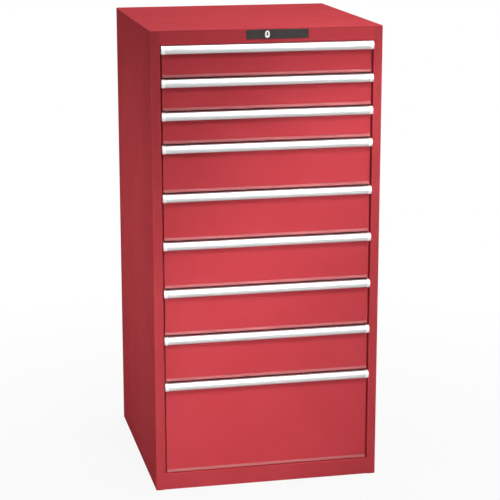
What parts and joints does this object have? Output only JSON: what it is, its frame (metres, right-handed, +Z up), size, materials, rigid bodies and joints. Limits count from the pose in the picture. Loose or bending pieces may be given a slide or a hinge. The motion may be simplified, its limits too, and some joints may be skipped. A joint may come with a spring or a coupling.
{
  "type": "workshop drawer cabinet",
  "caption": "Tall steel workshop cabinet with a column of full-extension drawers of three heights, full-width grip handles and a central lock in the header.",
  "frame": {"origin": "on the floor under the middle of the housing", "axes": "+X to the right of someone facing the drawers, +Y back into the cabinet, +Z up; the drawers open along -Y"},
  "size_m": [0.717, 0.7395, 1.45],
  "materials": {
    "red_powder_coat": "smooth semi-gloss red powder coat",
    "grey_powder_coat": "fine satin light grey powder coat",
    "zinc_plated_steel": "bright zinc plating on rolled steel",
    "anodised_aluminium": "satin natural anodised extrusion",
    "pale_moulded_plastic": "smooth pale grey moulding",
    "dark_moulded_plastic": "fine-grained dark grey moulding",
    "nickel_plated_brass": "bright nickel plating"
  },
  "bodies": {
    "housing": {"left_side_panel": "red_powder_coat", "right_side_panel": "red_powder_coat", "back_panel": "red_powder_coat", "top_panel": "red_powder_coat", "header_rail": "red_powder_coat", "base_panel": "red_powder_coat", "slotted_uprights": "zinc_plated_steel", "fixed_rails_left": "zinc_plated_steel", "fixed_rails_right": "zinc_plated_steel", "lock_cover": "dark_moulded_plastic", "lock_cylinder": "nickel_plated_brass", "lock_guides": "zinc_plated_steel"},
    "lock_barrel": {"lock_plug": "nickel_plated_brass", "lock_shaft": "zinc_plated_steel"},
    "locking_bar": {"locking_bar": "zinc_plated_steel"},
    "drawer_1": {"drawer_1_tray": "grey_powder_coat", "drawer_1_front": "red_powder_coat", "drawer_1_handle": "anodised_aluminium", "drawer_1_handle_trim": "pale_moulded_plastic"},
    "carriage_1": {"slide_carriage_1": "zinc_plated_steel"},
    "drawer_2": {"drawer_2_tray": "grey_powder_coat", "drawer_2_front": "red_powder_coat", "drawer_2_handle": "anodised_aluminium", "drawer_2_handle_trim": "pale_moulded_plastic"},
    "carriage_2": {"slide_carriage_2": "zinc_plated_steel"},
    "drawer_3": {"drawer_3_tray": "grey_powder_coat", "drawer_3_front": "red_powder_coat", "drawer_3_handle": "anodised_aluminium", "drawer_3_handle_trim": "pale_moulded_plastic"},
    "carriage_3": {"slide_carriage_3": "zinc_plated_steel"},
    "drawer_4": {"drawer_4_tray": "grey_powder_coat", "drawer_4_front": "red_powder_coat", "drawer_4_handle": "anodised_aluminium", "drawer_4_handle_trim": "pale_moulded_plastic"},
    "carriage_4": {"slide_carriage_4": "zinc_plated_steel"},
    "drawer_5": {"drawer_5_tray": "grey_powder_coat", "drawer_5_front": "red_powder_coat", "drawer_5_handle": "anodised_aluminium", "drawer_5_handle_trim": "pale_moulded_plastic"},
    "carriage_5": {"slide_carriage_5": "zinc_plated_steel"},
    "drawer_6": {"drawer_6_tray": "grey_powder_coat", "drawer_6_front": "red_powder_coat", "drawer_6_handle": "anodised_aluminium", "drawer_6_handle_trim": "pale_moulded_plastic"},
    "carriage_6": {"slide_carriage_6": "zinc_plated_steel"},
    "drawer_7": {"drawer_7_tray": "grey_powder_coat", "drawer_7_front": "red_powder_coat", "drawer_7_handle": "anodised_aluminium", "drawer_7_handle_trim": "pale_moulded_plastic"},
    "carriage_7": {"slide_carriage_7": "zinc_plated_steel"},
    "drawer_8": {"drawer_8_tray": "grey_powder_coat", "drawer_8_front": "red_powder_coat", "drawer_8_handle": "anodised_aluminium", "drawer_8_handle_trim": "pale_moulded_plastic"},
    "carriage_8": {"slide_carriage_8": "zinc_plated_steel"},
    "drawer_9": {"drawer_9_tray": "grey_powder_coat", "drawer_9_front": "red_powder_coat", "drawer_9_handle": "anodised_aluminium", "drawer_9_handle_trim": "pale_moulded_plastic"},
    "carriage_9": {"slide_carriage_9": "zinc_plated_steel"}
  },
  "joints": [
    {"name": "lock_turn", "type": "hinge", "parent": "housing", "child": "lock_barrel", "pos_m": [-0.0035, 0, 1.4325], "axis": [0, 1, 0], "range_deg": [0, 90]},
    {"name": "locking_bar_lift", "type": "slide", "parent": "housing", "child": "locking_bar", "axis": [0, 0, 1], "range_m": [0, 0.01202]},
    {"name": "drawer_1_slide", "type": "slide", "parent": "housing", "child": "drawer_1", "axis": [0, -1, 0], "range_m": [0, 0.612]},
    {"name": "carriage_1_slide", "type": "slide", "parent": "housing", "child": "carriage_1", "axis": [0, -1, 0], "range_m": [0, 0.306]},
    {"name": "drawer_2_slide", "type": "slide", "parent": "housing", "child": "drawer_2", "axis": [0, -1, 0], "range_m": [0, 0.612]},
    {"name": "carriage_2_slide", "type": "slide", "parent": "housing", "child": "carriage_2", "axis": [0, -1, 0], "range_m": [0, 0.306]},
    {"name": "drawer_3_slide", "type": "slide", "parent": "housing", "child": "drawer_3", "axis": [0, -1, 0], "range_m": [0, 0.612]},
    {"name": "carriage_3_slide", "type": "slide", "parent": "housing", "child": "carriage_3", "axis": [0, -1, 0], "range_m": [0, 0.306]},
    {"name": "drawer_4_slide", "type": "slide", "parent": "housing", "child": "drawer_4", "axis": [0, -1, 0], "range_m": [0, 0.612]},
    {"name": "carriage_4_slide", "type": "slide", "parent": "housing", "child": "carriage_4", "axis": [0, -1, 0], "range_m": [0, 0.306]},
    {"name": "drawer_5_slide", "type": "slide", "parent": "housing", "child": "drawer_5", "axis": [0, -1, 0], "range_m": [0, 0.612]},
    {"name": "carriage_5_slide", "type": "slide", "parent": "housing", "child": "carriage_5", "axis": [0, -1, 0], "range_m": [0, 0.306]},
    {"name": "drawer_6_slide", "type": "slide", "parent": "housing", "child": "drawer_6", "axis": [0, -1, 0], "range_m": [0, 0.612]},
    {"name": "carriage_6_slide", "type": "slide", "parent": "housing", "child": "carriage_6", "axis": [0, -1, 0], "range_m": [0, 0.306]},
    {"name": "drawer_7_slide", "type": "slide", "parent": "housing", "child": "drawer_7", "axis": [0, -1, 0], "range_m": [0, 0.612]},
    {"name": "carriage_7_slide", "type": "slide", "parent": "housing", "child": "carriage_7", "axis": [0, -1, 0], "range_m": [0, 0.306]},
    {"name": "drawer_8_slide", "type": "slide", "parent": "housing", "child": "drawer_8", "axis": [0, -1, 0], "range_m": [0, 0.612]},
    {"name": "carriage_8_slide", "type": "slide", "parent": "housing", "child": "carriage_8", "axis": [0, -1, 0], "range_m": [0, 0.306]},
    {"name": "drawer_9_slide", "type": "slide", "parent": "housing", "child": "drawer_9", "axis": [0, -1, 0], "range_m": [0, 0.612]},
    {"name": "carriage_9_slide", "type": "slide", "parent": "housing", "child": "carriage_9", "axis": [0, -1, 0], "range_m": [0, 0.306]}
  ],
  "couplings": [
    {"joint": "lock_turn", "follows": "locking_bar_lift", "rad_per_m": 130.67},
    {"joint": "carriage_1_slide", "follows": "drawer_1_slide", "ratio": 0.5},
    {"joint": "carriage_2_slide", "follows": "drawer_2_slide", "ratio": 0.5},
    {"joint": "carriage_3_slide", "follows": "drawer_3_slide", "ratio": 0.5},
    {"joint": "carriage_4_slide", "follows": "drawer_4_slide", "ratio": 0.5},
    {"joint": "carriage_5_slide", "follows": "drawer_5_slide", "ratio": 0.5},
    {"joint": "carriage_6_slide", "follows": "drawer_6_slide", "ratio": 0.5},
    {"joint": "carriage_7_slide", "follows": "drawer_7_slide", "ratio": 0.5},
    {"joint": "carriage_8_slide", "follows": "drawer_8_slide", "ratio": 0.5},
    {"joint": "carriage_9_slide", "follows": "drawer_9_slide", "ratio": 0.5}
  ]
}
